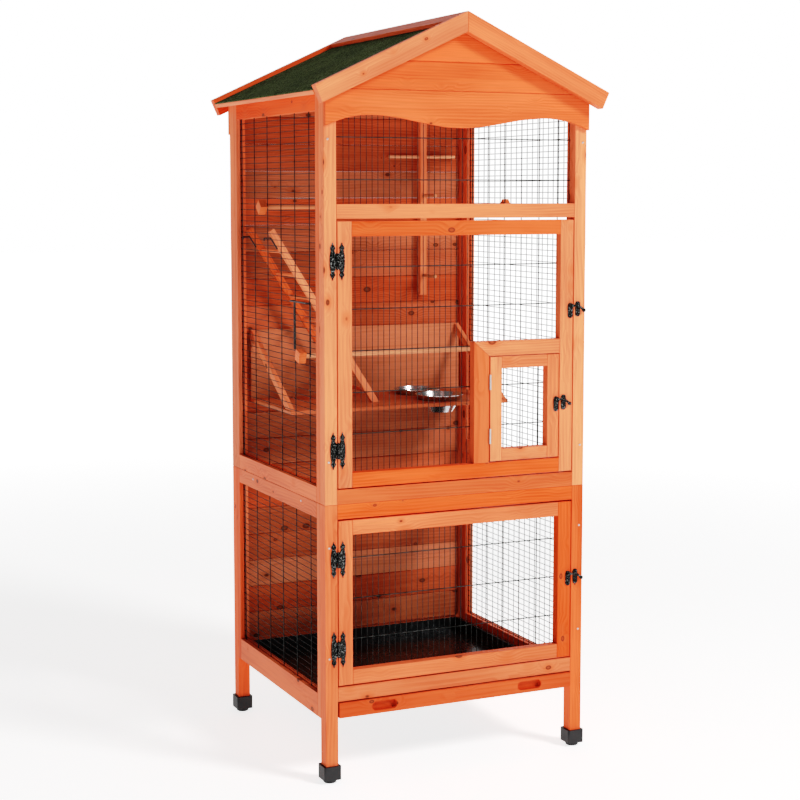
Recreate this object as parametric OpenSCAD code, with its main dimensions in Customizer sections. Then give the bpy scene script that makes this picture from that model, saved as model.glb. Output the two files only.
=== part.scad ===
// Wooden bird cage on four legs: two stacked modules, gabled felt roof, two mesh doors,
// a feed door inside the upper one, a pull-out tray and the birds' fittings inside.
// Front is -Y, +Z is up, the origin is on the floor under the middle of the roof.

/* [Cage] */
// Width over the posts
cage_w = 596; // [560:4:640]
// Depth over the posts
cage_d = 558; // [540:2:600]
// Square section of the posts
post = 27; // [25:1:30]
// Height of the joint between the lower and upper modules
seam_z = 573; // [565:1:580]
// Height of the transom over the main door, measured to its lower edge
transom_z = 1144; // [1135:1:1150]
// Thickness of the doors and front rails
door_t = 20; // [16:1:22]
// Width of door stiles
stile_w = 31; // [26:1:34]
// Width of rails
rail_w = 30; // [26:1:32]

/* [Roof] */
// Height of the ridge
ridge_z = 1556; // [1540:2:1580]
// Slope of the roof in degrees
roof_pitch = 25; // [24:0.5:26]
// Half width of the roof
roof_hw = 330; // [326:1:340]
// Depth of the roof over the bargeboards
roof_d = 632; // [626:2:660]
// Width of the bargeboards
barge_w = 37; // [32:1:42]
// Thickness of the bargeboards
barge_t = 20; // [14:1:22]

/* [Mesh] */
// Diameter of the close wires
wire_d = 1.3; // [1:0.1:1.8]
// Diameter of the wide-spaced wires
wide_d = 2; // [1.4:0.1:2.4]
// Spacing of the close wires
close_pitch = 12.6; // [12:0.1:14]
// Spacing of the wide wires
wide_pitch = 84; // [76:1:90]

/* [Tray] */
// Height of the drawer front
drawer_h = 31; // [28:1:31]
// Depth of the tray
tray_d = 519; // [480:1:519]
// Wall thickness of the tray
tray_wall = 1.2; // [1:0.1:2]

/* [Fittings] */
// Height of the shelf's upper face
shelf_z = 728; // [720:1:735]
// Depth of the shelf
shelf_d = 249; // [240:1:249]
// Diameter of the perches
perch_d = 10; // [8:1:12]
// Outer radius of a bowl's rim
bowl_r = 55; // [52:1:56]
// Slope of the ladder in degrees
ladder_slope = 57.5; // [57:0.5:58]

/* [Hidden] */
$fn = 48;

joint_gap = 0.2;      // hairline between two boards that meet
door_gap = 2;         // clearance round a door
hw = cage_w / 2;
hd = cage_d / 2;
inner_x = hw - post;
inner_y = hd - post;
front_y = -hd;
rail_back_y = front_y + door_t;

// roof line and the layers under it, measured square to the slope
slope_tan = tan(roof_pitch);
felt_depth = 8;
felt_t = 2;
roof_t = 9;
under_depth = felt_depth + felt_t + roof_t;
roof_end_y = roof_d / 2 - barge_t;
post_top = roof_z(hw, under_depth) - 0.3;

// heights of the boards
glide_h = 8;
cap_h = 28;
cap_floor = 4;
leg_z = glide_h + cap_floor;
drawer_z = 135;
low_rail_z = drawer_z + drawer_h + 2;
low_door_z = low_rail_z + rail_w + 3;
low_door_top = seam_z - rail_w - 3.5;
main_door_z = seam_z + rail_w + 2.5;
main_door_top = transom_z - 5;
head_z = 1357;
head_h = 32;
door_hw = inner_x - door_gap;

// side frames: outer strips, mesh, inner strips
strip_t = 9;
inner_strip_t = 8;
mesh_t = wide_d + wire_d + 0.2;
side_stile_w = 18;
side_sill_z = 130;
side_sill_top = 178;
side_mid_h = 32;

plank_pitch = 61;
plank_t = 10;
back_y = hd - 17;

// feed door
feed_x0 = 73.3;
feed_x1 = inner_x - door_gap - stile_w - 2;
feed_z0 = main_door_z + rail_w + 2.5;
feed_z1 = feed_z0 + 219;
feed_gap = 1.5;
feed_stile = 27;
surround_x = 35.5;
surround_w = 35;
surround_h = 30.5;

// hinges and latches
hinge_axis_x = -inner_x + door_gap / 2;
hinge_axis_y = front_y - 3.2;
knuckle_r = 3;
pin_r = 1.5;
leaf_t = 2;
barrel_h = 28;
run_gap = 0.4;
main_hinge_z = [1060, 682];
low_hinge_z = [461, 277];
feed_hinge_z = [804, 691];
feed_hinge_h = 32;
feed_axis_x = feed_x0 - 1.4;
feed_axis_y = front_y - 2.6;
latch_plate_w = 11;
latch_plate_h = 32;
latch_span = 18;
latch_bar_d = 4;
latch_bar_y = front_y - 6.5;
latch_bar_up = 10;
keeper_up = 3;
main_latch = [inner_x - 9, 948];
low_latch = [inner_x - 9, 373];
feed_latch = [feed_x1 - 6.7, 751];

// fittings
shelf_t = 8.5;
shelf_x = [-261, 268];
brace_w = 18;
brace_t = 10;
brace_top = shelf_z + 157;
bowl_x = 127;
bowl_y = [72, 190];
bowl_rim_z = shelf_z + 12;
bowl_floor_z = shelf_z - 28;
block_w = 23;
block_t = 15.5;
batten_x = 168;
batten_w = 16;
batten_t = 19.5;
batten_z = 955;
peg_d = 8;
ladder_y = [80, 215];
ladder_foot_x = -30;
ladder_rise = 386;
ladder_rail_w = 15;
ladder_rail_t = 10;
rung_pitch = 62;
hook_d = 3;

// height of the surface that lies depth under the roof line, square to the slope
function roof_z(x, depth) = ridge_z - abs(x) * slope_tan - depth / cos(roof_pitch);

// height of the wavy lower edge of the front fascia
wave_z = 1325;
wave_h = 23;
wave_crest = 198;
function fascia_z(x) = abs(x) < wave_crest
  ? wave_z + wave_h * (1 - cos(180 * abs(x) / wave_crest)) / 2
  : wave_z + wave_h * (1 - pow((abs(x) - wave_crest) / (hw - wave_crest), 2));

// a board between two opposite corners
module board(a, b) {
  translate(a) cube(b - a);
}

module both_sides() {
  children();
  mirror([1, 0, 0]) children();
}

module pine() { color("#e08a4a") children(); }
module pine_light() { color("#eda468") children(); }
module wire_grey() { color("#5c5f60") children(); }
module black_iron() { color("#262827") children(); }
module steel() { color("#b9bcbe") children(); }

// ---------------------------------------------------------------- frame

module posts(sy, z0, z1) {
  both_sides()
    board([inner_x, sy > 0 ? inner_y : -hd, z0], [hw, sy > 0 ? hd : -inner_y, z1]);
}

module lower_posts_front() { pine() posts(-1, leg_z, seam_z - joint_gap); }
module lower_posts_rear() { pine() posts(1, leg_z, seam_z - joint_gap); }
module upper_posts_front() { pine() posts(-1, seam_z, post_top); }
module upper_posts_rear() { pine() posts(1, seam_z, post_top); }

module at_posts() {
  for (sx = [-1, 1], sy = [-1, 1])
    translate([sx * (hw - post / 2), sy * (hd - post / 2), 0]) children();
}

module round_square(w, r) {
  for (sx = [-1, 1], sy = [-1, 1])
    translate([sx * (w / 2 - r), sy * (w / 2 - r)]) circle(r);
  square([w, w - 2 * r], center = true);
  square([w - 2 * r, w], center = true);
}

module foot_caps() {
  cap_w = post + 10;
  color("#2b2d2e") at_posts()
    difference() {
      translate([0, 0, glide_h]) linear_extrude(cap_h) round_square(cap_w, 4);
      translate([0, 0, leg_z - 0.05])
        linear_extrude(cap_h) square(post + 0.6, center = true);
    }
}

module foot_glides() {
  color("#3a3c3d") at_posts() {
    cylinder(h = 2, r1 = 11.5, r2 = 13.5);
    translate([0, 0, 2]) cylinder(h = glide_h - 2 - 0.05, r = 13.5);
  }
}

// rails and stiles of one side panel, drawn for the right-hand wall
module side_ring(x0, x1, z0, z1, bottom_h, top_h) {
  y1 = inner_y - joint_gap;
  ys = y1 - side_stile_w;
  for (s = [-1, 1])
    board([x0, s > 0 ? ys : -y1, z0], [x1, s > 0 ? y1 : -ys, z1]);
  board([x0, -ys + joint_gap, z0], [x1, ys - joint_gap, z0 + bottom_h]);
  board([x0, -ys + joint_gap, z1 - top_h], [x1, ys - joint_gap, z1]);
}

module side_frame(z0, z1, bottom_h, top_h) {
  x_mesh = hw - strip_t - mesh_t;
  side_ring(hw - strip_t, hw, z0, z1, bottom_h, top_h);
  side_ring(x_mesh - inner_strip_t, x_mesh, z0, z1, bottom_h, top_h);
}

module side_frame_lower() {
  side_frame(side_sill_z, seam_z - joint_gap, side_sill_top - side_sill_z, side_mid_h);
}

module side_frame_upper() {
  side_frame(seam_z, head_z + head_h, side_mid_h, head_h);
}

module side_frame_right_lower() { pine() side_frame_lower(); }
module side_frame_left_lower() { pine() mirror([1, 0, 0]) side_frame_lower(); }
module side_frame_right_upper() { pine() side_frame_upper(); }
module side_frame_left_upper() { pine() mirror([1, 0, 0]) side_frame_upper(); }

module front_rail(z0, z1) {
  board([-inner_x + joint_gap, front_y, z0], [inner_x - joint_gap, rail_back_y, z1]);
}

module lower_front_rails() {
  pine() {
    front_rail(low_rail_z, low_rail_z + rail_w);
    front_rail(seam_z - rail_w, seam_z - joint_gap);
  }
}

module upper_front_rails() {
  pine_light() {
    front_rail(seam_z, seam_z + rail_w);
    front_rail(transom_z, transom_z + rail_w - 1);
    front_rail(head_z, head_z + head_h);
  }
}

module rear_rails() {
  x1 = inner_x - joint_gap;
  y0 = back_y + plank_t + joint_gap;
  pine() for (z = [side_sill_z + 8, seam_z - rail_w, seam_z, head_z])
    board([-x1, y0, z], [x1, hd, z + rail_w - joint_gap]);
}

// ---------------------------------------------------------------- walls

// one tongue-and-groove board lying along X, with chamfered face edges
module plank(x1, y, z0, z1) {
  c = 1.5;
  translate([-x1, y, 0]) rotate([90, 0, 90]) linear_extrude(2 * x1)
    polygon([[c, z0], [plank_t - c, z0], [plank_t, z0 + c], [plank_t, z1 - c],
             [plank_t - c, z1], [c, z1], [0, z1 - c], [0, z0 + c]]);
}

module plank_wall(z0, z1) {
  n = ceil((z1 - z0) / plank_pitch);
  for (i = [0 : n - 1])
    plank(inner_x - joint_gap, back_y, z0 + i * plank_pitch,
          min(z0 + (i + 1) * plank_pitch - joint_gap, z1));
}

module back_planks_lower() { pine() plank_wall(low_rail_z, seam_z - joint_gap); }
module back_planks_upper() { pine() plank_wall(seam_z, head_z + head_h); }

// the triangle under the roof boards
module gable_outline() {
  polygon([[-hw, 0], [hw, 0], [hw, roof_z(hw, under_depth) - 0.3],
           [0, roof_z(0, under_depth) - 0.3], [-hw, roof_z(hw, under_depth) - 0.3]]);
}

module gable_plank(y, z0, z1) {
  intersection() {
    plank(hw, y, z0, z1);
    translate([0, y + plank_t + 1, 0]) rotate([90, 0, 0])
      linear_extrude(plank_t + 2) gable_outline();
  }
}

gable_z = [1398, 1456];

module gable_upper_planks(y) {
  gable_plank(y, gable_z[0], gable_z[1] - joint_gap);
  gable_plank(y, gable_z[1], ridge_z);
}

module wavy_fascia(y) {
  steps = 80;
  edge = [for (i = [0 : steps]) let (x = -hw + 2 * hw * i / steps) [x, fascia_z(x)]];
  intersection() {
    translate([0, y + plank_t, 0]) rotate([90, 0, 0]) linear_extrude(plank_t)
      polygon(concat(edge, [[hw, gable_z[0] - joint_gap], [-hw, gable_z[0] - joint_gap]]));
    translate([0, y + plank_t + 1, 0]) rotate([90, 0, 0])
      linear_extrude(plank_t + 2) gable_outline();
  }
}

module gable_front() {
  y = front_y - plank_t - joint_gap;
  pine_light() {
    gable_upper_planks(y);
    wavy_fascia(y);
  }
}

module gable_rear() {
  y = hd + joint_gap;
  pine() {
    gable_upper_planks(y);
    gable_plank(y, wave_z, gable_z[0] - joint_gap);
  }
}

// ---------------------------------------------------------------- roof

// cross-section of a board that follows the right-hand slope
module slope_section(x1, depth0, depth1) {
  run = (depth1 - depth0) * sin(roof_pitch);
  x0 = joint_gap / 2;
  polygon([[x0, roof_z(x0, depth0)], [x1, roof_z(x1, depth0)],
           [x1 - run, roof_z(x1 - run, depth1)], [x0, roof_z(x0, depth1)]]);
}

module along_y(y0, y1) {
  translate([0, y1, 0]) rotate([90, 0, 0]) linear_extrude(y1 - y0) children();
}

module bargeboards() {
  pine_light() both_sides() {
    along_y(-roof_d / 2, -roof_end_y - joint_gap) slope_section(roof_hw, 0, barge_w);
    along_y(roof_end_y + joint_gap, roof_d / 2) slope_section(roof_hw, 0, barge_w);
  }
}

module roof_board() {
  along_y(-roof_end_y, roof_end_y)
    slope_section(roof_hw - 3, felt_depth + felt_t + 0.05, under_depth);
}

module roof_board_right() { pine() roof_board(); }
module roof_board_left() { pine() mirror([1, 0, 0]) roof_board(); }

// one sheet of felt per slope
module roof_felt() {
  color("#2f4a33") both_sides() along_y(-roof_end_y, roof_end_y)
    slope_section(roof_hw - 2, felt_depth, felt_depth + felt_t);
}

module ridge_caps() {
  cap_run = 50 * cos(roof_pitch);
  pine() both_sides()
    along_y(-roof_end_y, roof_end_y) slope_section(cap_run, 0, felt_depth - 0.05);
}

// ---------------------------------------------------------------- mesh

// close wires standing along Z between z0 and z1, spread from x0 to x1
module upright_wires(x0, x1, z0, z1, first) {
  for (x = [first : close_pitch : x1])
    if (x > x0)
      translate([x, close_y, z0]) cylinder(h = z1 - z0, d = wire_d, $fn = 16);
}

// wide-spaced wires lying along X between x0 and x1, spread from z0 to z1
module level_wires(x0, x1, z0, z1, first) {
  for (z = [first : wide_pitch : z1])
    if (z > z0)
      translate([x0, wide_y, z]) rotate([0, 90, 0]) cylinder(h = x1 - x0, d = wide_d, $fn = 16);
}

// the outer wires of a front panel lie level and the close ones stand behind them
wide_y = wide_d / 2 + 0.05;
close_y = wide_y + wide_d / 2 + wire_d / 2 + 0.05;

// wires of the upper side meshes: where they stand, and heights on, between and over them
mesh_wire_x = hw - strip_t - close_y;
upper_mesh_z = seam_z + 12;
function mesh_wire_z(i) = upper_mesh_z + 6 + i * close_pitch;
function between_wires_z(i) = mesh_wire_z(i) + close_pitch / 2;
function over_wire_z(i) = mesh_wire_z(i) + (wire_d + hook_d) / 2 + 0.35;

module front_mesh(x1, z0, z1, first_level) {
  translate([0, rail_back_y, 0]) {
    level_wires(-x1, x1, z0, z1, first_level);
    upright_wires(-x1, x1, z0, z1, -19 * close_pitch - 7.6);
  }
}

module window_mesh() {
  wire_grey() front_mesh(inner_x - 1, transom_z + 4, head_z + 24, 1221);
}

module main_door_mesh() {
  x1 = door_hw - 8;
  z0 = main_door_z + 8;
  z1 = main_door_top - 8;
  cut_x = surround_x + 12;
  cut_z = feed_z1 + 14;
  wire_grey() intersection() {
    front_mesh(x1, z0, z1, 627);
    union() {
      board([-hw, rail_back_y - 1, z0 - 1], [cut_x, rail_back_y + 9, z1 + 1]);
      board([cut_x - 1, rail_back_y - 1, cut_z], [hw, rail_back_y + 9, z1 + 1]);
    }
  }
}

module lower_door_mesh() {
  wire_grey() front_mesh(door_hw - 8, low_door_z + 8, low_door_top - 8, 290);
}

module feed_door_mesh() {
  x0 = feed_x0 + 8;
  x1 = feed_x1 - 8;
  z0 = feed_z0 + 8;
  z1 = feed_z1 - 8;
  wire_grey() translate([0, rail_back_y, 0]) {
    level_wires(x0, x1, z0, z1, 711);
    upright_wires(x0, x1, z0, z1, x0 + 5);
  }
}

// the close wires of a side wall lie level along Y and the wide ones stand outside them
module side_mesh_panel(z0, z1) {
  y1 = inner_y - 6;
  x_wide = hw - strip_t - wide_y;
  x_close = hw - strip_t - close_y;
  side_pitch = 80.5;
  for (i = [0 : 5])
    translate([x_wide, -177 + i * side_pitch, z0])
      cylinder(h = z1 - z0, d = wide_d, $fn = 16);
  for (z = [z0 + 6 : close_pitch : z1])
    translate([x_close, y1, z]) rotate([90, 0, 0])
      cylinder(h = 2 * y1, d = wire_d, $fn = 16);
}

module side_mesh() {
  side_mesh_panel(side_sill_z + 34, seam_z - 12);
  side_mesh_panel(upper_mesh_z, head_z + 20);
}

module side_mesh_right() { wire_grey() side_mesh(); }
module side_mesh_left() { wire_grey() mirror([1, 0, 0]) side_mesh(); }

// ---------------------------------------------------------------- doors

// two stiles with rails between them, front face at front_y
module door_frame(x0, x1, z0, z1, stile, rail) {
  board([x0, front_y, z0], [x0 + stile, rail_back_y, z1]);
  board([x1 - stile, front_y, z0], [x1, rail_back_y, z1]);
  for (z = [z0, z1 - rail])
    board([x0 + stile + joint_gap, front_y, z], [x1 - stile - joint_gap, rail_back_y, z + rail]);
}

module main_door_frame() {
  pine_light() door_frame(-door_hw, door_hw, main_door_z, main_door_top, stile_w, rail_w);
}

module lower_door_frame() {
  pine() door_frame(-door_hw, door_hw, low_door_z, low_door_top, stile_w, rail_w);
}

module feed_door_frame() {
  pine_light() door_frame(feed_x0, feed_x1, feed_z0, feed_z1, feed_stile, feed_stile - 2);
}

// mitred pair of boards above and beside the feed door
module feed_surround() {
  x0 = surround_x;
  x1 = x0 + surround_w;
  x2 = door_hw - stile_w - joint_gap;
  z0 = main_door_z + rail_w + joint_gap;
  z1 = feed_z1 + feed_gap;
  z2 = z1 + surround_h;
  m = 0.15;
  pine_light() along_y(front_y, rail_back_y) {
    polygon([[x0, z0], [x1, z0], [x1, z1 - m], [x0, z2 - m]]);
    polygon([[x1, z1 + m], [x2, z1 + m], [x2, z2], [x0, z2 + m]]);
  }
}

// ---------------------------------------------------------------- hinges

// half outline of a hinge leaf with a spade tip; u runs out from the pin, w up from the middle
leaf_half = [[3.2, 0], [3.2, 14], [4.7, 16.5], [6.1, 20], [6.4, 22.5], [4.3, 26.2], [5.8, 29.3],
             [8.6, 33], [9.9, 37.5], [11.2, 33], [14, 29.3], [15.3, 26.2], [13.3, 22.5],
             [14, 19], [15.7, 11], [16.1, 0]];

module leaf_outline() {
  polygon(leaf_half);
  mirror([0, 1]) polygon(leaf_half);
}

// heights of the knuckle centres: the post leaf holds the middle one, the door leaf the others
knuckle_h = barrel_h / 3;

module leaf_plate(dir) {
  translate([hinge_axis_x, front_y - 0.05, 0]) scale([dir, 1, 1])
    rotate([90, 0, 0]) linear_extrude(leaf_t) leaf_outline();
}

module knuckle(dir, z, h) {
  translate([hinge_axis_x, hinge_axis_y, z - h / 2]) difference() {
    union() {
      cylinder(h = h, r = knuckle_r);
      translate([dir > 0 ? 0 : -4, front_y - 0.05 - leaf_t - hinge_axis_y, 0])
        cube([4, leaf_t, h]);
    }
    translate([0, 0, -1]) cylinder(h = h + 2, r = pin_r + 0.06);
  }
}

module hinge_door_leaf(z) {
  translate([0, 0, z]) leaf_plate(1);
  for (s = [-1, 1]) knuckle(1, z + s * knuckle_h, knuckle_h - run_gap);
}

module hinge_post_leaf(z) {
  translate([0, 0, z]) leaf_plate(-1);
  knuckle(-1, z, knuckle_h - run_gap);
}

module hinge_pin(z) {
  translate([hinge_axis_x, hinge_axis_y, z - barrel_h / 2 - 1]) {
    cylinder(h = barrel_h + 2, r = pin_r);
    for (dz = [-1, barrel_h + 1.2]) translate([0, 0, dz]) cylinder(h = 1.8, r = knuckle_r);
  }
}

module post_hinges() {
  black_iron() for (z = concat(main_hinge_z, low_hinge_z)) {
    hinge_post_leaf(z);
    hinge_pin(z);
  }
}

module main_door_hinges() { black_iron() for (z = main_hinge_z) hinge_door_leaf(z); }
module lower_door_hinges() { black_iron() for (z = low_hinge_z) hinge_door_leaf(z); }

// narrow butt hinge whose leaves lie in the gap beside the feed door
module feed_leaf(dir, z, knuckles) {
  leaf = 0.8;
  x = dir > 0 ? feed_x0 - leaf - 0.05 : surround_x + surround_w + 0.05;
  r = 2.4;
  k = feed_hinge_h / 3;
  board([x, front_y + 0.1, z - feed_hinge_h / 2], [x + leaf, front_y + 15, z + feed_hinge_h / 2]);
  for (i = knuckles)
    translate([feed_axis_x, feed_axis_y, z + i * k - (k - run_gap) / 2]) difference() {
      union() {
        cylinder(h = k - run_gap, r = r);
        translate([x - feed_axis_x, 0, 0]) cube([leaf, 3, k - run_gap]);
      }
      translate([0, 0, -1]) cylinder(h = k + 2, r = 1.06);
    }
}

module feed_hinges_fixed() {
  steel() for (z = feed_hinge_z) {
    feed_leaf(-1, z, [0]);
    translate([feed_axis_x, feed_axis_y, z - feed_hinge_h / 2]) cylinder(h = feed_hinge_h, r = 1);
  }
}

module feed_hinges_moving() {
  steel() for (z = feed_hinge_z) feed_leaf(1, z, [-1, 1]);
}

// ---------------------------------------------------------------- latches

module stadium(w, h) {
  for (s = [-1, 1]) translate([0, s * (h - w) / 2]) circle(w / 2);
  square([w, h - w], center = true);
}

module latch_plate(x, z) {
  translate([x, front_y - 0.05, z]) rotate([90, 0, 0])
    linear_extrude(leaf_t) stadium(latch_plate_w, latch_plate_h);
}

// plate on the door with the stud that the lever turns on
module pivot_plate(p) {
  black_iron() {
    latch_plate(p[0], p[1]);
    translate([p[0], front_y - leaf_t, p[1] + latch_bar_up]) rotate([90, 0, 0])
      cylinder(h = 8, r = 1.5);
  }
}

// plate across the gap with the ledge that the lever rests on
module keeper_plate(p) {
  x = p[0] + latch_span;
  z = p[1] + latch_bar_up - latch_bar_d / 2 - 0.3;
  black_iron() {
    latch_plate(x, p[1] + keeper_up);
    board([x - 6, latch_bar_y - 2, z - 3], [x - 2.6, front_y - 1.5, z]);
  }
}

// hub on the stud, bar over the gap, and a bent arm that ends in a ball
module latch_lever(p) {
  ball = [latch_span + 12, -10];
  arm = ball - [latch_span, 0];
  black_iron() translate([p[0], latch_bar_y, p[1] + latch_bar_up]) {
    difference() {
      translate([0, 4, 0]) rotate([90, 0, 0]) cylinder(h = 6.4, r = 4.5);
      translate([0, 6, 0]) rotate([90, 0, 0]) cylinder(h = 14, r = 1.56);
    }
    translate([3.4, 0, 0]) rotate([0, 90, 0]) cylinder(h = latch_span - 3.4, d = latch_bar_d);
    translate([latch_span, 0, 0]) sphere(d = latch_bar_d);
    translate([latch_span, 0, 0]) rotate([0, 90 + atan2(-arm[1], arm[0]), 0])
      cylinder(h = norm(arm), d1 = latch_bar_d, d2 = latch_bar_d + 1.6);
    translate([ball[0], 0, ball[1]]) sphere(r = 4);
  }
}

module lower_latch_plate() { pivot_plate(low_latch); }
module feed_latch_plate() { pivot_plate(feed_latch); }
module main_latch_lever() { latch_lever(main_latch); }
module lower_latch_lever() { latch_lever(low_latch); }
module feed_latch_lever() { latch_lever(feed_latch); }

module main_door_plates() {
  pivot_plate(main_latch);
  keeper_plate(feed_latch);
}

module post_latch_keepers() {
  keeper_plate(main_latch);
  keeper_plate(low_latch);
}

// ---------------------------------------------------------------- fasteners

// domed head with a short shank that is driven into the wood along +Y
module screw() {
  rotate([90, 0, 0]) {
    cylinder(h = 0.9, r1 = 2.7, r2 = 1.9);
    translate([0, 0, -8]) cylinder(h = 8, r = 1.4);
  }
}

module frame_screws() {
  post_screw_x = hw - 8.8;
  steel() {
    for (sx = [-1, 1], z = [1300, 660, 486, 259])
      translate([sx * post_screw_x, front_y - 0.05, z]) screw();
    both_sides() for (y = [-148, 143])
      translate([hw + 0.05, y, seam_z - 11]) rotate([0, 0, 90]) screw();
  }
}

// ---------------------------------------------------------------- drawer

tray_hw = inner_x - 9;
tray_floor_z = drawer_z + 1;
tray_top_z = low_rail_z - 3;
drawer_t = 18;
drawer_back_y = front_y - 4 + drawer_t;
grip_w = 57;
grip_h = 19;
grip_x = 169;
grip_deep = 12;

module drawer_front() {
  pine_light() difference() {
    board([-door_hw, front_y - 4, drawer_z], [door_hw, drawer_back_y, drawer_z + drawer_h]);
    for (s = [-1, 1])
      translate([s * grip_x, front_y - 4 + grip_deep, drawer_z + drawer_h / 2])
        rotate([90, 0, 0]) linear_extrude(grip_deep + 1) rotate(90) stadium(grip_h, grip_w);
  }
}

module drawer_tray() {
  y0 = drawer_back_y + 0.05;
  y1 = y0 + tray_d;
  rim = 6;
  color("#6f7475") {
    difference() {
      board([-tray_hw, y0, tray_floor_z], [tray_hw, y1, tray_top_z]);
      board([-tray_hw + tray_wall, y0 + tray_wall, tray_floor_z + tray_wall],
            [tray_hw - tray_wall, y1 - tray_wall, tray_top_z + 1]);
    }
    difference() {
      board([-tray_hw - rim, y0, tray_top_z - tray_wall], [tray_hw + rim, y1, tray_top_z]);
      board([-tray_hw + 0.1, y0 - 1, tray_top_z - 3], [tray_hw - 0.1, y1 + 1, tray_top_z + 1]);
    }
  }
}

// ledges on the side walls that carry the tray's edges
module tray_runners() {
  x1 = hw - strip_t - mesh_t - inner_strip_t - joint_gap;
  pine() both_sides() {
    board([tray_hw - 14, -inner_y + 1, side_sill_z], [x1, inner_y - 1, tray_floor_z - 0.3]);
  }
}

// ---------------------------------------------------------------- shelf and bowls

shelf_back_y = back_y - joint_gap;
shelf_y1 = shelf_back_y - 8;
shelf_y0 = shelf_y1 - shelf_d;

module shelf_board() {
  color("#a8552c") difference() {
    board([shelf_x[0], shelf_y0, shelf_z - shelf_t], [shelf_x[1], shelf_y1 - joint_gap, shelf_z]);
    for (y = bowl_y)
      translate([bowl_x, y, shelf_z - 20]) cylinder(h = 40, r = bowl_r - 6);
  }
}

module shelf_back() {
  color("#9c4f2a")
    board([shelf_x[0], shelf_y1, shelf_z - shelf_t], [shelf_x[1], shelf_back_y, brace_top]);
}

module shelf_braces() {
  y_top = shelf_y1 - joint_gap;
  foot_z = shelf_z + 0.1;
  slope = (brace_top - foot_z) / (y_top - shelf_y0 - 3);
  drop = brace_w / cos(atan(slope));
  pine() for (x = [shelf_x[0] + 2, shelf_x[1] - 2 - brace_t])
    translate([x, 0, 0]) rotate([90, 0, 90]) linear_extrude(brace_t)
      polygon([[y_top, brace_top], [y_top, brace_top - drop],
               [shelf_y0 + 3 + drop / slope, foot_z], [shelf_y0 + 3, foot_z]]);
}

module bowl(y) {
  wall = 1.2;
  r_shelf = bowl_r - 6.4;
  r_floor = 30;
  steel() translate([bowl_x, y, 0]) rotate_extrude()
    polygon([[0, bowl_floor_z], [r_floor, bowl_floor_z], [r_shelf, shelf_z],
             [bowl_r - 2, bowl_rim_z - 1.2], [bowl_r, bowl_rim_z - 1.2], [bowl_r, bowl_rim_z],
             [bowl_r - 3, bowl_rim_z], [r_shelf - wall, shelf_z], [r_floor - wall, bowl_floor_z + wall],
             [0, bowl_floor_z + wall]]);
}

module bowl_front() { bowl(bowl_y[0]); }
module bowl_rear() { bowl(bowl_y[1]); }

// ---------------------------------------------------------------- perches

// a perch runs through one mesh of each side wall and ends in blocks that lie on the mesh
block_x = hw - strip_t + 0.1;
perch_x1 = block_x + block_t - 3;
perches = [[77, between_wires_z(45), 45], [-148, between_wires_z(21), 16]];

module perch_dowels() {
  color("#e9b27a") for (p = perches)
    translate([-perch_x1, p[0], p[1]]) rotate([0, 90, 0])
      cylinder(h = 2 * perch_x1, d = perch_d);
}

// square blocks on the ends of the perches, each turned about its dowel
module perch_blocks() {
  pine() both_sides() for (p = perches)
    translate([block_x, p[0], p[1]]) difference() {
      rotate([p[2], 0, 0]) translate([0, -block_w / 2, -block_w / 2])
        cube([block_t, block_w, block_w]);
      translate([-1, 0, 0]) rotate([0, 90, 0]) cylinder(h = block_t - 1.9, r = perch_d / 2 + 0.05);
    }
}

peg_rows = [[1279, 0], [1188, 1], [1001, 1]];

module peg_at(z, forward, r) {
  if (forward == 1)
    translate([batten_x, back_y - 4, z]) rotate([90, 0, 0]) cylinder(h = 80, r = r);
  else
    translate([batten_x - 85, back_y - 10, z]) rotate([0, 90, 0]) cylinder(h = 170, r = r);
}

module perch_batten() {
  y1 = back_y - joint_gap;
  pine_light() difference() {
    board([batten_x - batten_w / 2, y1 - batten_t, batten_z],
          [batten_x + batten_w / 2, y1, head_z + 20]);
    for (p = peg_rows) peg_at(p[0], p[1], peg_d / 2 + 0.06);
  }
}

module batten_pegs() {
  color("#e9b27a") for (p = peg_rows) peg_at(p[0], p[1], peg_d / 2);
}

// ---------------------------------------------------------------- ladder and wire

ladder_run = ladder_rise / tan(ladder_slope);
ladder_foot_z = shelf_z + 0.3;

module ladder_rail(y) {
  half = ladder_rail_w / 2 / sin(ladder_slope);
  dx = ladder_rail_w / 2 * sin(ladder_slope);
  dz = ladder_rail_w / 2 * cos(ladder_slope);
  top = [ladder_foot_x - ladder_run, ladder_foot_z + ladder_rise];
  along_y(y - ladder_rail_t / 2, y + ladder_rail_t / 2)
    polygon([[ladder_foot_x - half, ladder_foot_z], [ladder_foot_x + half, ladder_foot_z],
             [top[0] + dx, top[1] + dz], [top[0] - dx, top[1] - dz]]);
}

module rung(i, r, y0, y1) {
  s = (30 + i * rung_pitch);
  translate([ladder_foot_x - s * cos(ladder_slope), y1, ladder_foot_z + s * sin(ladder_slope)])
    rotate([90, 0, 0]) cylinder(h = y1 - y0, r = r);
}

module ladder() {
  rung_r = 4;
  pine_light() {
    for (y = ladder_y) difference() {
      ladder_rail(y);
      for (i = [0 : 6]) rung(i, rung_r + 0.05, ladder_y[0] - 2.2, ladder_y[1] + 2.2);
    }
    for (i = [0 : 6]) rung(i, rung_r, ladder_y[0] - 2, ladder_y[1] + 2);
  }
}

// a straight piece of round wire between two points
module rod(a, b) {
  v = b - a;
  translate(a) rotate([0, acos(v[2] / norm(v)), atan2(v[1], v[0])])
    cylinder(h = norm(v), d = hook_d);
}

// a wire bent at each inner point
module bent_wire(points) {
  for (i = [1 : len(points) - 1]) rod(points[i - 1], points[i]);
  for (i = [1 : len(points) - 2]) translate(points[i]) sphere(d = hook_d);
}

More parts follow.
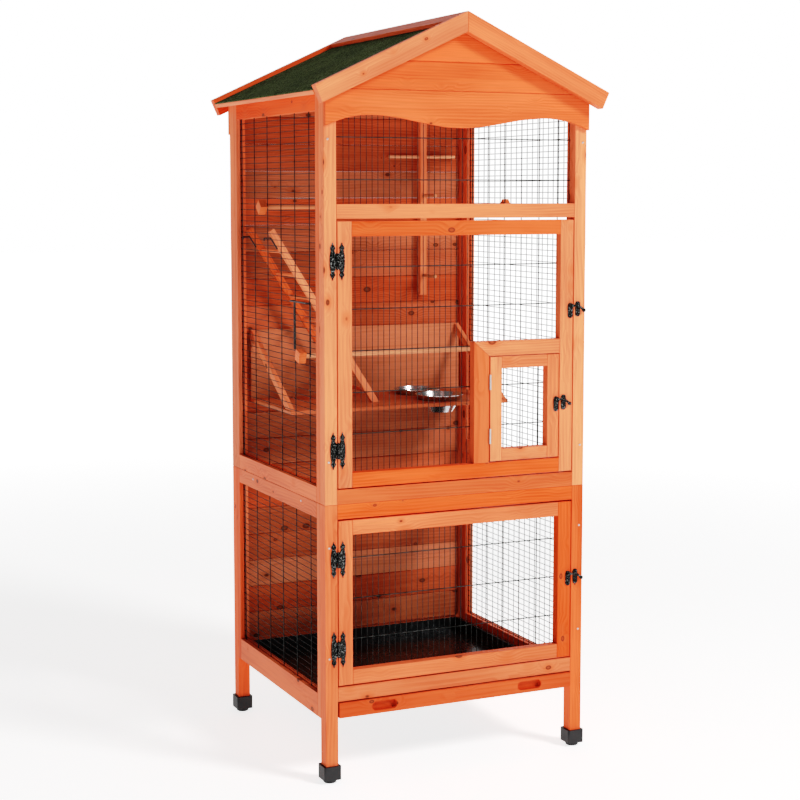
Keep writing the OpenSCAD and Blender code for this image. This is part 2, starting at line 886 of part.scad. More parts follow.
// hooks over a mesh wire whose shanks run down along the undersides of the ladder's rails
module ladder_hooks() {
  x_out = -mesh_wire_x - 4.5;
  z = over_wire_z(40);
  under = (ladder_rail_w + hook_d) / 2 / sin(ladder_slope) + 0.05;
  x_bend = ladder_foot_x - (z - ladder_foot_z) / tan(ladder_slope) - under;
  shank = 24;
  black_iron() for (y = ladder_y)
    bent_wire([[x_out, y, z - 6], [x_out, y, z], [x_bend, y, z],
               [x_bend + shank / tan(ladder_slope), y, z - shank]]);
}

// loop of wire that hangs over one wire of the left mesh
module wire_hanger() {
  y0 = -165;
  y1 = -75;
  x_in = -mesh_wire_x + 4;
  x_out = -mesh_wire_x - 5;
  z = over_wire_z(30);
  black_iron()
    bent_wire([[x_in, y1, z - 102], [x_in, y1, z], [x_out, y1, z], [x_out, y0, z], [x_in, y0, z],
               [x_in, y0, z - 110]]);
}

lower_posts_front();
lower_posts_rear();
upper_posts_front();
upper_posts_rear();
foot_caps();
foot_glides();
side_frame_left_lower();
side_frame_right_lower();
side_frame_left_upper();
side_frame_right_upper();
side_mesh_left();
side_mesh_right();
lower_front_rails();
upper_front_rails();
rear_rails();
window_mesh();
back_planks_lower();
back_planks_upper();
gable_front();
gable_rear();
bargeboards();
roof_board_left();
roof_board_right();
roof_felt();
ridge_caps();
shelf_board();
shelf_back();
shelf_braces();
perch_dowels();
perch_blocks();
perch_batten();
batten_pegs();
tray_runners();
frame_screws();
post_hinges();
post_latch_keepers();
main_door_frame();
feed_surround();
main_door_mesh();
main_door_hinges();
main_door_plates();
feed_hinges_fixed();
feed_door_frame();
feed_door_mesh();
feed_hinges_moving();
feed_latch_plate();
lower_door_frame();
lower_door_mesh();
lower_door_hinges();
lower_latch_plate();
main_latch_lever();
feed_latch_lever();
lower_latch_lever();
drawer_front();
drawer_tray();
bowl_front();
bowl_rear();
ladder();
ladder_hooks();
wire_hanger();
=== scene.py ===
"""Looks of the wooden bird cage: stained pine boards, green mineral felt, black hammered
fittings, wire mesh, steel bowls and a galvanised tray, on a pale studio floor.

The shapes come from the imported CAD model, in metres, with +Z up and the doors facing -Y.
"""

import math
import random

import bpy
import numpy as np
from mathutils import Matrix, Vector


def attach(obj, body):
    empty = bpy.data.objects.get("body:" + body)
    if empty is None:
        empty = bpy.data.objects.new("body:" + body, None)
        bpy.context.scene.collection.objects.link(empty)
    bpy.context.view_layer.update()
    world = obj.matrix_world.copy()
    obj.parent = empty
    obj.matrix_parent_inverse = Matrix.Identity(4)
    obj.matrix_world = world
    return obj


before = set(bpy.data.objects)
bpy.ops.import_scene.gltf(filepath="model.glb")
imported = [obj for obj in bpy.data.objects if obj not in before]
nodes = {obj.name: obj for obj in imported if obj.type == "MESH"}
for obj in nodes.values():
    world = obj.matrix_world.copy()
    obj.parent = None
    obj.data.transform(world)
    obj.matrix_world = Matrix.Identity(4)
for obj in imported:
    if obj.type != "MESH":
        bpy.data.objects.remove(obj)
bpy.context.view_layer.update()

# ------------------------------------------------------------------ what is made of what

PINE = [
    "lower_posts_front", "lower_posts_rear", "upper_posts_front", "upper_posts_rear",
    "side_frame_left_lower", "side_frame_right_lower", "side_frame_left_upper",
    "side_frame_right_upper", "lower_front_rails", "upper_front_rails", "gable_front",
    "gable_rear", "bargeboards",
    "roof_board_left", "roof_board_right", "ridge_caps", "tray_runners", "main_door_frame",
    "feed_surround", "feed_door_frame", "lower_door_frame", "drawer_front",
]
# pieces inside the cage, whose pine is made paler as painted light
INNER_PINE_PAINTED_LIGHT = ["ladder", "shelf_braces", "perch_blocks", "perch_batten"]
# pieces of the back wall, whose pine is made darker as painted shade
PLANKS = ["rear_rails", "back_planks_lower", "back_planks_upper"]
RAW_WOOD = ["perch_dowels", "batten_pegs"]
SHELF_WOOD = ["shelf_board", "shelf_back"]
WIRE = ["side_mesh_left", "side_mesh_right", "window_mesh", "main_door_mesh",
        "lower_door_mesh", "feed_door_mesh"]
IRON = ["post_hinges", "post_latch_keepers", "main_door_hinges", "main_door_plates",
        "feed_latch_plate", "lower_door_hinges", "lower_latch_plate", "main_latch_lever",
        "feed_latch_lever", "lower_latch_lever"]
BLACK_WIRE = ["ladder_hooks", "wire_hanger"]
BRIGHT = ["frame_screws", "feed_hinges_fixed", "feed_hinges_moving"]
BOWLS = ["bowl_front", "bowl_rear"]
PLASTIC = ["foot_caps", "foot_glides"]

# ------------------------------------------------------------------ shader building blocks


def new_material(name):
    mat = bpy.data.materials.new(name)
    mat.use_nodes = True
    tree = mat.node_tree
    return mat, tree, tree.nodes["Principled BSDF"]


def add(tree, kind, inputs=None, **settings):
    """A shader node; each input is a constant or another node's output."""
    made = tree.nodes.new("ShaderNode" + kind)
    for name, value in settings.items():
        setattr(made, name, value)
    for key, value in (inputs or {}).items():
        feed(tree, made.inputs[key], value)
    return made


def feed(tree, socket, value):
    if isinstance(value, bpy.types.NodeSocket):
        tree.links.new(value, socket)
    else:
        socket.default_value = value


def math_node(tree, operation, a, b=0.0, clamp=False):
    return add(tree, "Math", {0: a, 1: b}, operation=operation, use_clamp=clamp).outputs[0]


def times(tree, a, b):
    return math_node(tree, "MULTIPLY", a, b)


def plus(tree, a, b):
    return math_node(tree, "ADD", a, b)


def vector_node(tree, operation, a, b=(0.0, 0.0, 0.0)):
    made = add(tree, "VectorMath", {0: a, 1: b}, operation=operation)
    return made.outputs["Value" if operation in ("DOT_PRODUCT", "LENGTH") else "Vector"]


def scaled(tree, vector, factor):
    made = add(tree, "VectorMath", {0: vector, "Scale": factor}, operation="SCALE")
    return made.outputs["Vector"]


def span(tree, value, low, high, to_low=0.0, to_high=1.0, smooth=True):
    """value from low to high becomes to_low to to_high, and stays there outside."""
    return add(
        tree, "MapRange",
        {"Value": value, "From Min": low, "From Max": high, "To Min": to_low, "To Max": to_high},
        interpolation_type="SMOOTHSTEP" if smooth else "LINEAR",
    ).outputs[0]


def blend(tree, factor, a, b):
    """Colour a where the factor is 0 and colour b where it is 1."""
    made = tree.nodes.new("ShaderNodeMix")
    made.data_type = "RGBA"
    for socket, value in zip((made.inputs[0], made.inputs[6], made.inputs[7]), (factor, a, b)):
        feed(tree, socket, value)
    return made.outputs[2]


def noise(tree, place, scale, detail=2.0, roughness=0.5):
    return add(
        tree, "TexNoise",
        {"Vector": place, "Scale": scale, "Detail": detail, "Roughness": roughness},
    ).outputs[0]


def cells(tree, place, scale, output="Distance"):
    return add(tree, "TexVoronoi", {"Vector": place, "Scale": scale}).outputs[output]


def channels(tree, colour):
    """The three numbers of a colour."""
    return add(tree, "SeparateColor", {"Color": colour}).outputs


def object_place(tree):
    return add(tree, "TexCoord").outputs["Object"]


def bump(tree, bsdf, height, distance, strength=1.0):
    made = add(tree, "Bump", {"Height": height, "Distance": distance, "Strength": strength})
    tree.links.new(made.outputs[0], bsdf.inputs["Normal"])


def rgba(colour):
    return (*colour, 1.0)


# ------------------------------------------------------------------ wood

BOARD_JUMP = (31.0, 17.0, 23.0)
BOARD_SPREAD = 0.12
PITH_SIDE = (0.05, 0.04, 0.06)
KNOT_ACROSS, KNOT_ALONG = 26.0, 17.0
KNOT_SMALL, KNOT_BIG = 0.070, 0.190


def wood(name, early, late, knot, ring_gap=0.0062, gloss=0.44, clear=0.46):
    """Boards cut from stained softwood. Each board's grain follows its own length, and its
    tone and figure differ from the next board's. Clear is the share of places without a knot."""
    mat, tree, bsdf = new_material(name)
    grain = add(tree, "Attribute", attribute_name="grain").outputs["Vector"]
    board = add(tree, "Attribute", attribute_name="board").outputs["Fac"]
    place = object_place(tree)

    along = vector_node(tree, "DOT_PRODUCT", place, grain)
    lengthwise = scaled(tree, grain, along)
    across = vector_node(tree, "SUBTRACT", place, lengthwise)
    jump = scaled(tree, BOARD_JUMP, board)

    def stretched(across_scale, along_scale):
        both = vector_node(tree, "ADD", scaled(tree, across, across_scale),
                           scaled(tree, lengthwise, along_scale))
        return vector_node(tree, "ADD", both, jump)

    # knots: a few of the cells hold one, each of its own size
    knot_place = stretched(KNOT_ACROSS, KNOT_ALONG)
    knot_near = cells(tree, knot_place, 1.0)
    lot = channels(tree, cells(tree, knot_place, 1.0, "Color"))
    chosen = math_node(tree, "GREATER_THAN", lot[0], clear)
    knot_size = span(tree, lot[1], 0.0, 1.0, KNOT_SMALL, KNOT_BIG, False)
    knot_depth = math_node(tree, "DIVIDE", knot_near, knot_size)
    swirl = times(tree, span(tree, knot_depth, 0.5, 4.5, 1.0, 0.0), chosen)

    # growth rings round a pith that lies beside the board and wanders along it
    wander = noise(tree, stretched(5.0, 1.3), 1.0, 2.0)
    ripple = noise(tree, stretched(26.0, 5.0), 1.0, 2.0)
    pith = scaled(tree, PITH_SIDE, plus(tree, board, 0.35))
    radius = vector_node(tree, "LENGTH", vector_node(tree, "ADD", across, pith))
    radius = plus(tree, radius, times(tree, wander, 0.060))
    radius = plus(tree, radius, times(tree, ripple, 0.006))
    radius = plus(tree, radius, times(tree, swirl, 0.010))
    ring = math_node(tree, "FRACT", math_node(tree, "DIVIDE", radius, ring_gap))
    late_wood = times(tree, span(tree, ring, 0.05, 0.80), span(tree, ring, 0.80, 1.0, 1.0, 0.0))

    # fine fibres, longer streaks, and stain that soaked in unevenly
    fibre = noise(tree, stretched(520.0, 14.0), 1.0, 3.0, 0.6)
    streak = noise(tree, stretched(85.0, 2.2), 1.0, 3.0, 0.55)
    stain = noise(tree, stretched(13.0, 2.6), 1.0, 3.0)

    rings = times(tree, late_wood, span(tree, ripple, 0.35, 0.65, 0.18, 0.66))
    figure = plus(tree, rings, span(tree, stain, 0.30, 0.70, -0.34, 0.60, False))
    figure = math_node(tree, "ADD", figure, span(tree, streak, 0.28, 0.72, -0.30, 0.32, False),
                       clamp=True)
    colour = blend(tree, figure, rgba(early), rgba(late))

    # tone, from the fibres, the stain and the board's own number
    tone = span(tree, fibre, 0.25, 0.75, 0.88, 1.07, smooth=False)
    tone = times(tree, tone, span(tree, stain, 0.25, 0.75, 1.06, 0.92, False))
    tone = times(tree, tone, span(tree, board, 0.0, 1.0, 1.0 - BOARD_SPREAD,
                                  1.0 + BOARD_SPREAD * 0.7, False))
    draw = math_node(tree, "FRACT", times(tree, board, 7.3))
    colour = add(tree, "HueSaturation",
                 {"Hue": span(tree, draw, 0.0, 1.0, 0.495, 0.505, False),
                  "Saturation": span(tree, draw, 0.0, 1.0, 1.04, 0.93, False),
                  "Value": tone, "Color": colour}).outputs[0]

    # dark knots, each with a stained halo, and darker end grain
    halo = times(tree, span(tree, knot_depth, 0.9, 2.6, 0.45, 0.0), chosen)
    colour = blend(tree, halo, colour, rgba(late))
    core = times(tree, span(tree, knot_depth, 0.75, 1.05, 1.0, 0.0), chosen)
    rim = span(tree, knot_depth, 0.25, 0.85, 0.55, 1.0)
    colour = blend(tree, times(tree, core, rim), colour, rgba(knot))
    facing = add(tree, "TexCoord").outputs["Normal"]
    end_grain = math_node(tree, "ABSOLUTE", vector_node(tree, "DOT_PRODUCT", facing, grain))
    colour = blend(tree, span(tree, end_grain, 0.75, 0.95, 0.0, 0.4), colour, rgba(late))
    tree.links.new(colour, bsdf.inputs["Base Color"])

    shine = span(tree, fibre, 0.2, 0.8, gloss - 0.05, gloss + 0.10, smooth=False)
    tree.links.new(shine, bsdf.inputs["Roughness"])
    bsdf.inputs["Specular IOR Level"].default_value = 0.08
    height = plus(tree, times(tree, fibre, 0.6), times(tree, figure, 0.4))
    height = math_node(tree, "SUBTRACT", height, times(tree, core, 0.5))
    bump(tree, bsdf, height, 0.0003, 0.6)
    return mat


# ------------------------------------------------------------------ other materials


def mineral_felt():
    """Roofing felt: dark green, covered with fine slate granules."""
    mat, tree, bsdf = new_material("green_mineral_felt")
    place = object_place(tree)
    granules = 420.0
    pick = channels(tree, cells(tree, place, granules, "Color"))[0]
    clump = noise(tree, place, 130.0, 3.0, 0.7)
    shade = blend(tree, span(tree, pick, 0.05, 0.9), rgba((0.034, 0.048, 0.020)),
                  rgba((0.125, 0.150, 0.066)))
    shade = blend(tree, span(tree, clump, 0.52, 0.72), shade, rgba((0.160, 0.185, 0.080)))
    pale = times(tree, span(tree, pick, 0.90, 0.96), 0.8)
    shade = blend(tree, pale, shade, rgba((0.26, 0.27, 0.18)))
    patch = span(tree, noise(tree, place, 11.0, 3.0), 0.3, 0.7, 0.78, 1.15, False)
    shade = add(tree, "HueSaturation", {"Value": patch, "Color": shade}).outputs[0]
    tree.links.new(shade, bsdf.inputs["Base Color"])
    bsdf.inputs["Roughness"].default_value = 0.95
    bsdf.inputs["Specular IOR Level"].default_value = 0.12
    height = plus(tree, cells(tree, place, granules), times(tree, clump, 1.5))
    bump(tree, bsdf, height, 0.0014)
    return mat


def hammered_iron():
    """Black lacquered iron with the dimples of a hammered finish."""
    mat, tree, bsdf = new_material("black_hammered_iron")
    place = object_place(tree)
    dimple = add(tree, "TexVoronoi", {"Vector": place, "Scale": 330.0, "Smoothness": 0.35},
                 feature="SMOOTH_F1").outputs["Distance"]
    wear = span(tree, noise(tree, place, 240.0, 3.0), 0.52, 0.74)
    colour = blend(tree, wear, rgba((0.003, 0.004, 0.003)), rgba((0.014, 0.016, 0.014)))
    # painted highlight: pale specks on the ridges between the dimples stand in for glints of the
    # lamps
    painted_glint = times(tree, span(tree, dimple, 0.50, 0.62),
                  span(tree, noise(tree, place, 260.0, 2.0), 0.46, 0.58))
    colour = blend(tree, painted_glint, colour, rgba((0.15, 0.155, 0.15)))
    tree.links.new(colour, bsdf.inputs["Base Color"])
    rough = span(tree, noise(tree, place, 380.0), 0.3, 0.7, 0.16, 0.30, False)
    tree.links.new(rough, bsdf.inputs["Roughness"])
    bsdf.inputs["Specular IOR Level"].default_value = 0.30
    bump(tree, bsdf, dimple, 0.0032)
    return mat


def black_lacquer():
    """Smooth black coating on bent wire."""
    mat, tree, bsdf = new_material("black_coated_wire")
    place = object_place(tree)
    tone = blend(tree, noise(tree, place, 300.0), rgba((0.008, 0.008, 0.009)),
                 rgba((0.022, 0.022, 0.023)))
    tree.links.new(tone, bsdf.inputs["Base Color"])
    bsdf.inputs["Roughness"].default_value = 0.32
    bump(tree, bsdf, noise(tree, place, 900.0), 0.0002, 0.4)
    return mat


def mesh_wire():
    """Galvanised wire: dull zinc with darker patches."""
    mat, tree, bsdf = new_material("galvanised_mesh_wire")
    place = object_place(tree)
    patch = span(tree, noise(tree, place, 90.0, 3.0), 0.3, 0.7)
    colour = blend(tree, patch, rgba((0.020, 0.022, 0.021)), rgba((0.066, 0.069, 0.067)))
    tree.links.new(colour, bsdf.inputs["Base Color"])
    bsdf.inputs["Metallic"].default_value = 0.92
    rough = span(tree, noise(tree, place, 300.0), 0.3, 0.7, 0.42, 0.58, False)
    tree.links.new(rough, bsdf.inputs["Roughness"])
    bump(tree, bsdf, noise(tree, place, 1400.0), 0.00012, 0.4)
    return mat


def bright_metal(name, colour, rough, scratch_scale=400.0):
    """Zinc-plated or stainless steel with fine scratches."""
    mat, tree, bsdf = new_material(name)
    place = object_place(tree)
    scratch = noise(tree, place, scratch_scale, 4.0, 0.7)
    shade = blend(tree, scratch, rgba([0.86 * c for c in colour]), rgba(colour))
    tree.links.new(shade, bsdf.inputs["Base Color"])
    bsdf.inputs["Metallic"].default_value = 1.0
    tree.links.new(span(tree, scratch, 0.3, 0.7, rough - 0.04, rough + 0.06, False),
                   bsdf.inputs["Roughness"])
    bump(tree, bsdf, scratch, 0.0001, 0.3)
    return mat


def galvanised_sheet():
    """Dull galvanised sheet: crystalline spangle, streaks and smudges."""
    mat, tree, bsdf = new_material("galvanised_sheet")
    place = object_place(tree)
    spangle = channels(tree, cells(tree, place, 110.0, "Color"))[0]
    smudge = noise(tree, place, 9.0, 4.0, 0.6)
    colour = blend(tree, spangle, rgba((0.050, 0.052, 0.054)), rgba((0.110, 0.113, 0.116)))
    colour = blend(tree, span(tree, smudge, 0.45, 0.75), colour, rgba((0.034, 0.036, 0.038)))
    tree.links.new(colour, bsdf.inputs["Base Color"])
    bsdf.inputs["Metallic"].default_value = 0.85
    rough = plus(tree, span(tree, smudge, 0.3, 0.7, 0.16, 0.34, False),
                 times(tree, spangle, 0.06))
    tree.links.new(rough, bsdf.inputs["Roughness"])
    bump(tree, bsdf, noise(tree, place, 12.0, 2.0), 0.002, 0.5)
    return mat


def moulded_plastic():
    """Black moulded plastic with a fine spark-eroded grain."""
    mat, tree, bsdf = new_material("black_moulded_plastic")
    place = object_place(tree)
    tone = blend(tree, noise(tree, place, 60.0, 3.0), rgba((0.009, 0.009, 0.010)),
                 rgba((0.020, 0.020, 0.021)))
    tree.links.new(tone, bsdf.inputs["Base Color"])
    rough = span(tree, noise(tree, place, 700.0), 0.3, 0.7, 0.42, 0.58, False)
    tree.links.new(rough, bsdf.inputs["Roughness"])
    bump(tree, bsdf, noise(tree, place, 2200.0), 0.0002, 0.6)
    return mat


def studio_floor():
    """Off-white floor that glows more with distance, so it runs into the white wall."""
    mat, tree, bsdf = new_material("pale_floor")
    place = object_place(tree)
    tone = blend(tree, noise(tree, place, 3.0, 3.0), rgba((0.90, 0.90, 0.90)),
                 rgba((0.93, 0.93, 0.93)))
    tree.links.new(tone, bsdf.inputs["Base Color"])
    bsdf.inputs["Roughness"].default_value = 0.8
    bsdf.inputs["Specular IOR Level"].default_value = 0.1
    bsdf.inputs["Emission Color"].default_value = rgba((1.0, 1.0, 1.0))
    far = vector_node(tree, "LENGTH", place)
    glow = span(tree, far, 1.2, 6.0, GLOW_NEAR, GLOW_FAR)
    tree.links.new(glow, bsdf.inputs["Emission Strength"])
    return mat


# ------------------------------------------------------------------ boards

WELD_STEPS = 1e6  # corners this many to the metre apart count as one place
LONGER_BY = 1e-6
SAME_LENGTH = 1e-7
SQUARE_SLACK = 1e-3


def solids_of(mesh):
    """For each face, the number of the solid it belongs to; faces that share a corner's place
    belong together."""
    count = len(mesh.vertices)
    co = np.empty(count * 3)
    mesh.vertices.foreach_get("co", co)
    keys = np.round(co.reshape(-1, 3) * WELD_STEPS).astype(np.int64)
    _, weld = np.unique(keys, axis=0, return_inverse=True)
    weld = weld.ravel()
    parent = list(range(weld.max() + 1))

    def root(i):
        while parent[i] != i:
            parent[i] = parent[parent[i]]
            i = parent[i]
        return i

    corners = [[weld[v] for v in face.vertices] for face in mesh.polygons]
    for face in corners:
        first = root(face[0])
        for other in face[1:]:
            parent[root(other)] = first
    return [root(face[0]) for face in corners]


def edges_of(mesh, face):
    """The edges of a face as vectors, in order round it."""
    ring = [mesh.vertices[v].co for v in mesh.polygons[face].vertices]
    return [b - a for a, b in zip(ring, ring[1:] + ring[:1])]


def longest_edge(mesh, faces):
    """Direction of the longest straight edge of some faces: a board's grain runs along it."""
    best, direction = 0.0, Vector((1, 0, 0))
    for face in faces:
        edges = edges_of(mesh, face)
        for edge in edges:
            if edge.length > best + LONGER_BY and not is_diagonal(edges, edge):
                best, direction = edge.length, edge.normalized()
    return direction


def is_diagonal(edges, edge):
    """True if the edge is the slanting side of a right triangle that halves a rectangle."""
    if len(edges) != 3:
        return False
    short, middle, long = sorted(side.length for side in edges)
    right = abs(long ** 2 - short ** 2 - middle ** 2) < SQUARE_SLACK * long ** 2
    return right and edge.length > long - SAME_LENGTH


def mark_boards(obj, seed):
    """Stores each board's grain direction and its own random number on its faces."""
    mesh = obj.data
    solid = solids_of(mesh)
    groups = {}
    for face, number in enumerate(solid):
        groups.setdefault(number, []).append(face)
    grain = np.zeros((len(solid), 3), np.float32)
    board = np.zeros(len(solid), np.float32)
    chance = random.Random(seed)
    for number in sorted(groups, key=lambda n: min(groups[n])):
        direction = longest_edge(mesh, groups[number])
        tone = chance.random()
        for face in groups[number]:
            grain[face] = direction
            board[face] = tone
    mesh.attributes.new("grain", "FLOAT_VECTOR", "FACE").data.foreach_set("vector", grain.ravel())
    mesh.attributes.new("board", "FLOAT", "FACE").data.foreach_set("value", board)


BOARD_EDGE = 0.0009
IRON_EDGE = 0.00035
CAP_EDGE = 0.0012
SHARP_ANGLE = math.radians(35)
WELD_DISTANCE = 2e-6


def soften(obj, width, segments=2):
    """Rounds the edges of a CAD node, as sanding or casting does."""
    weld = obj.modifiers.new("weld", "WELD")
    weld.merge_threshold = WELD_DISTANCE
    edge = obj.modifiers.new("rounded_edges", "BEVEL")
    edge.width = width
    edge.segments = segments
    edge.limit_method = "ANGLE"
    edge.angle_limit = SHARP_ANGLE
    edge.harden_normals = True
    edge.use_clamp_overlap = True


def paint(names, material):
    for name in names:
        slots = nodes[name].data.materials
        slots.clear()
        slots.append(material)


# ------------------------------------------------------------------ screws of the iron plates

# where the plates stand, in metres, as in the CAD model
PLATE_FACE_Y = -0.28104
HINGE_X = -0.270
HINGE_SCREW_OUT = 0.0099
HINGE_SCREW_UP = 0.0300
MAIN_HINGES = [1.060, 0.682]
LOWER_HINGES = [0.461, 0.277]
MAIN_LATCH = (0.262, 0.948)
LOWER_LATCH = (0.262, 0.373)
FEED_LATCH = (0.2293, 0.751)
LATCH_SPAN = 0.018
LATCH_SCREW_DOWN = 0.0102
KEEPER_UP = 0.003

HEAD_RADIUS = 0.0021
HEAD_HEIGHT = 0.0011
HEAD_SIDES = 24
# from the rim to the edge of the driver recess, as parts of the radius and of the height
HEAD_PROFILE = [(1.0, 0.0), (0.97, 0.35), (0.82, 0.70), (0.56, 0.93), (0.32, 1.0), (0.24, 0.72)]
RECESS_BOTTOM = 0.5


def screw_head():
    """Vertices and faces of a domed head with a driver recess, standing on z = 0."""
    points = []
    for r, z in HEAD_PROFILE:
        for k in range(HEAD_SIDES):
            angle = 2 * math.pi * k / HEAD_SIDES
            points.append(Vector((HEAD_RADIUS * r * math.cos(angle),
                                  HEAD_RADIUS * r * math.sin(angle), HEAD_HEIGHT * z)))
    faces = []
    for ring in range(len(HEAD_PROFILE) - 1):
        for k in range(HEAD_SIDES):
            a, b = ring * HEAD_SIDES + k, ring * HEAD_SIDES + (k + 1) % HEAD_SIDES
            faces.append((a, b, b + HEAD_SIDES, a + HEAD_SIDES))
    points.append(Vector((0.0, 0.0, HEAD_HEIGHT * RECESS_BOTTOM)))
    last = (len(HEAD_PROFILE) - 1) * HEAD_SIDES
    for k in range(HEAD_SIDES):
        faces.append((last + k, last + (k + 1) % HEAD_SIDES, len(points) - 1))
    return points, faces


def screw_heads(name, spots, body, material):
    """Heads at (x, z) spots on the front of the iron plates, as one piece on a body."""
    turn = Vector((0, 0, 1)).rotation_difference(Vector((0, -1, 0))).to_matrix()
    head, head_faces = screw_head()
    points, faces = [], []
    for x, z in spots:
        start = len(points)
        points += [turn @ p + Vector((x, PLATE_FACE_Y, z)) for p in head]
        faces += [tuple(start + i for i in face) for face in head_faces]
    mesh = bpy.data.meshes.new(name)
    mesh.from_pydata(points, [], faces)
    mesh.shade_smooth()
    mesh.materials.append(material)
    piece = bpy.data.objects.new(name, mesh)
    bpy.context.scene.collection.objects.link(piece)
    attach(piece, body)


def hinge_spots(heights, side):
    """Two screws for each hinge leaf on the post (side -1) or on the door (side 1)."""
    return [(HINGE_X + side * HINGE_SCREW_OUT, z + up)
            for z in heights for up in (-HINGE_SCREW_UP, HINGE_SCREW_UP)]


def lever_spot(latch):
    """The screw of the plate that carries the lever."""
    return (latch[0], latch[1] - LATCH_SCREW_DOWN)


def keeper_spot(latch):
    """The screw of the plate across the gap."""
    return (latch[0] + LATCH_SPAN, latch[1] + KEEPER_UP - LATCH_SCREW_DOWN)


def plate_screws(material):
    spots = {
        "cage": hinge_spots(MAIN_HINGES + LOWER_HINGES, -1)
        + [keeper_spot(MAIN_LATCH), keeper_spot(LOWER_LATCH)],
        "main_door": hinge_spots(MAIN_HINGES, 1)
        + [lever_spot(MAIN_LATCH), keeper_spot(FEED_LATCH)],
        "feed_door": [lever_spot(FEED_LATCH)],
        "lower_door": hinge_spots(LOWER_HINGES, 1) + [lever_spot(LOWER_LATCH)],
    }
    for body in sorted(spots):
        screw_heads("plate_screws_" + body, spots[body], body, material)


# ------------------------------------------------------------------ studio

AIM = Vector((0.0, 0.0, 0.78))
KEY = {"place": (2.6, -4.2, 4.0), "size": 1.4, "power": 140.0}
FILL = {"place": (-3.4, -3.6, 3.4), "size": 1.6, "power": 5.0}
WALL_LIGHT = 0.11
BACKDROP_LIGHT = 1.0
BACKDROP_SIDE = (0.418, 0.908, 0.0)
BACKDROP_EDGE = (0.86, 0.94)
FLOOR_SIZE = 60.0
GLOW_NEAR, GLOW_FAR = 0.60, 0.94
CAMERA_PLACE = (-1.5587, -3.3746, 1.1957)
CAMERA_TILT, CAMERA_TURN = 84.3575, -24.7256
CAMERA_LENS = 76.31
CAMERA_SHIFT = -0.05
CAMERA_REACH = 200.0


def area_light(name, place, size, power):
    data = bpy.data.lights.new(name, "AREA")
    data.shape, data.size, data.energy = "DISK", size, power
    light = bpy.data.objects.new(name, data)
    light.location = place
    light.rotation_euler = (AIM - Vector(place)).to_track_quat("-Z", "Y").to_euler()
    bpy.context.scene.collection.objects.link(light)


def studio_sky(tree):
    """Dim walls with one bright screen behind the cage, all of it seen as plain white."""
    facing = add(tree, "TexCoord").outputs["Generated"]
    behind = vector_node(tree, "DOT_PRODUCT", facing, BACKDROP_SIDE)
    strength = span(tree, behind, *BACKDROP_EDGE, WALL_LIGHT, BACKDROP_LIGHT)
    seen = add(tree, "LightPath").outputs["Is Camera Ray"]
    strength = math_node(tree, "MAXIMUM", strength, seen)
    sky = tree.nodes["Background"]
    sky.inputs["Color"].default_value = rgba((1.0, 1.0, 1.0))
    tree.links.new(strength, sky.inputs["Strength"])


# how bright light shows: deeper shadows and softer highlights than a straight line gives
TONE_CURVE = [(0.015, 0.009), (0.035, 0.038), (0.08, 0.13), (0.14, 0.258), (0.35, 0.63),
              (0.70, 0.84)]
ALL_CHANNELS = 3


def develop():
    """Sets how the picture is shown: plain display colours after one gentle tone curve."""
    view = bpy.context.scene.view_settings
    view.view_transform = "Standard"
    view.use_curve_mapping = True
    curve = view.curve_mapping.curves[ALL_CHANNELS]
    for x, y in TONE_CURVE:
        curve.points.new(x, y)
    view.curve_mapping.update()


def studio():
    world = bpy.data.worlds.new("studio")
    world.use_nodes = True
    studio_sky(world.node_tree)
    bpy.context.scene.world = world
    develop()
    area_light("key", **KEY)
    area_light("fill", **FILL)

    bpy.ops.mesh.primitive_plane_add(size=FLOOR_SIZE, location=(0.0, 0.0, 0.0))
    floor = bpy.context.object
    floor.name = "floor"
    floor.data.materials.append(studio_floor())


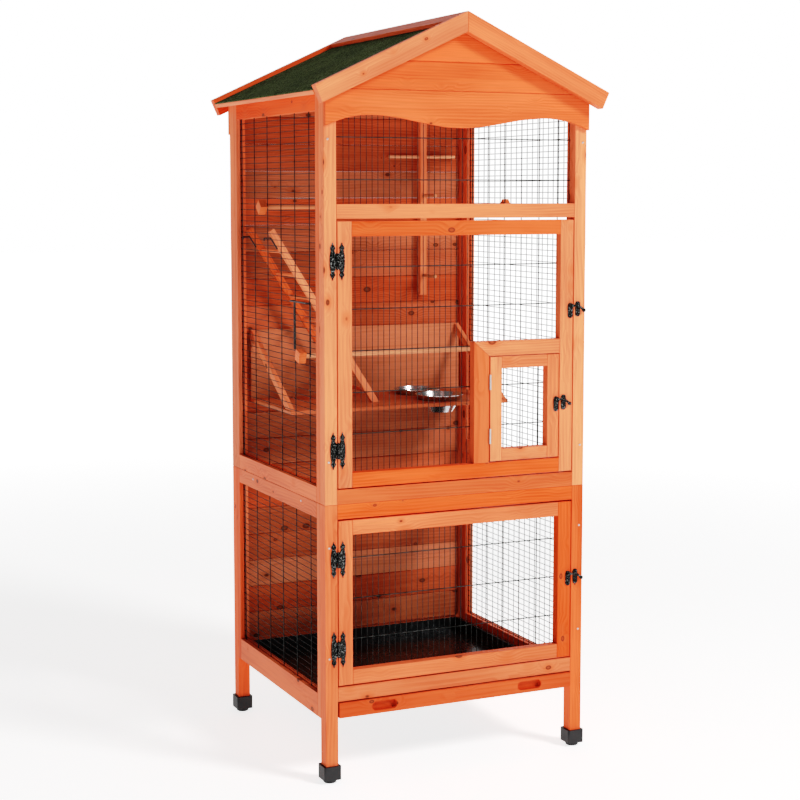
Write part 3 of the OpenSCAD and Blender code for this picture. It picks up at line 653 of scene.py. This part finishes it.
def camera():
    """The photo's viewpoint, fitted to corners of the cage."""
    data = bpy.data.cameras.new("camera")
    data.sensor_width = 36.0
    data.lens = CAMERA_LENS
    data.shift_y = CAMERA_SHIFT
    data.clip_end = CAMERA_REACH
    cam = bpy.data.objects.new("camera", data)
    cam.location = CAMERA_PLACE
    cam.rotation_euler = (math.radians(CAMERA_TILT), 0.0, math.radians(CAMERA_TURN))
    bpy.context.scene.collection.objects.link(cam)
    bpy.context.scene.camera = cam


# ------------------------------------------------------------------ the cage

stained = wood("stained_pine", (0.83, 0.178, 0.070), (0.66, 0.116, 0.040), (0.16, 0.040, 0.018))
# painted light: the pieces inside the cage get the stained pine made paler, standing in for the
# light that reaches them
pine_painted_light = wood("pine_paler_painted_light", (0.84, 0.232, 0.100), (0.66, 0.148, 0.052), (0.16, 0.040, 0.018))
# painted shade: the back planks and rear rails get the stained pine made darker, standing in for
# the shade inside the cage
planks_painted_shade = wood("pine_darker_painted_shade", (0.58, 0.155, 0.070), (0.43, 0.090, 0.033), (0.11, 0.032, 0.015))
raw = wood("dowel_wood", (0.80, 0.38, 0.21), (0.62, 0.25, 0.12), (0.20, 0.08, 0.03),
           ring_gap=0.0028, gloss=0.50, clear=1.0)
shelf = wood("shelf_plywood", (0.70, 0.240, 0.120), (0.58, 0.175, 0.078), (0.16, 0.045, 0.022),
             ring_gap=0.009, gloss=0.38, clear=1.0)
iron = hammered_iron()

for number, name in enumerate(PINE + INNER_PINE_PAINTED_LIGHT + PLANKS + RAW_WOOD + SHELF_WOOD):
    mark_boards(nodes[name], number)
for name in PINE + INNER_PINE_PAINTED_LIGHT + PLANKS + SHELF_WOOD:
    soften(nodes[name], BOARD_EDGE)
for name in IRON:
    soften(nodes[name], IRON_EDGE)
soften(nodes["foot_caps"], CAP_EDGE, segments=3)

paint(PINE, stained)
paint(INNER_PINE_PAINTED_LIGHT, pine_painted_light)
paint(PLANKS, planks_painted_shade)
paint(RAW_WOOD, raw)
paint(SHELF_WOOD, shelf)
paint(["roof_felt"], mineral_felt())
paint(IRON, iron)
plate_screws(iron)
paint(BLACK_WIRE, black_lacquer())
paint(WIRE, mesh_wire())
paint(BRIGHT, bright_metal("zinc_plated_steel", (0.45, 0.45, 0.44), 0.36))
paint(BOWLS, bright_metal("stainless_steel", (0.62, 0.62, 0.62), 0.22, 250.0))
paint(["drawer_tray"], galvanised_sheet())
paint(PLASTIC, moulded_plastic())

studio()
camera()
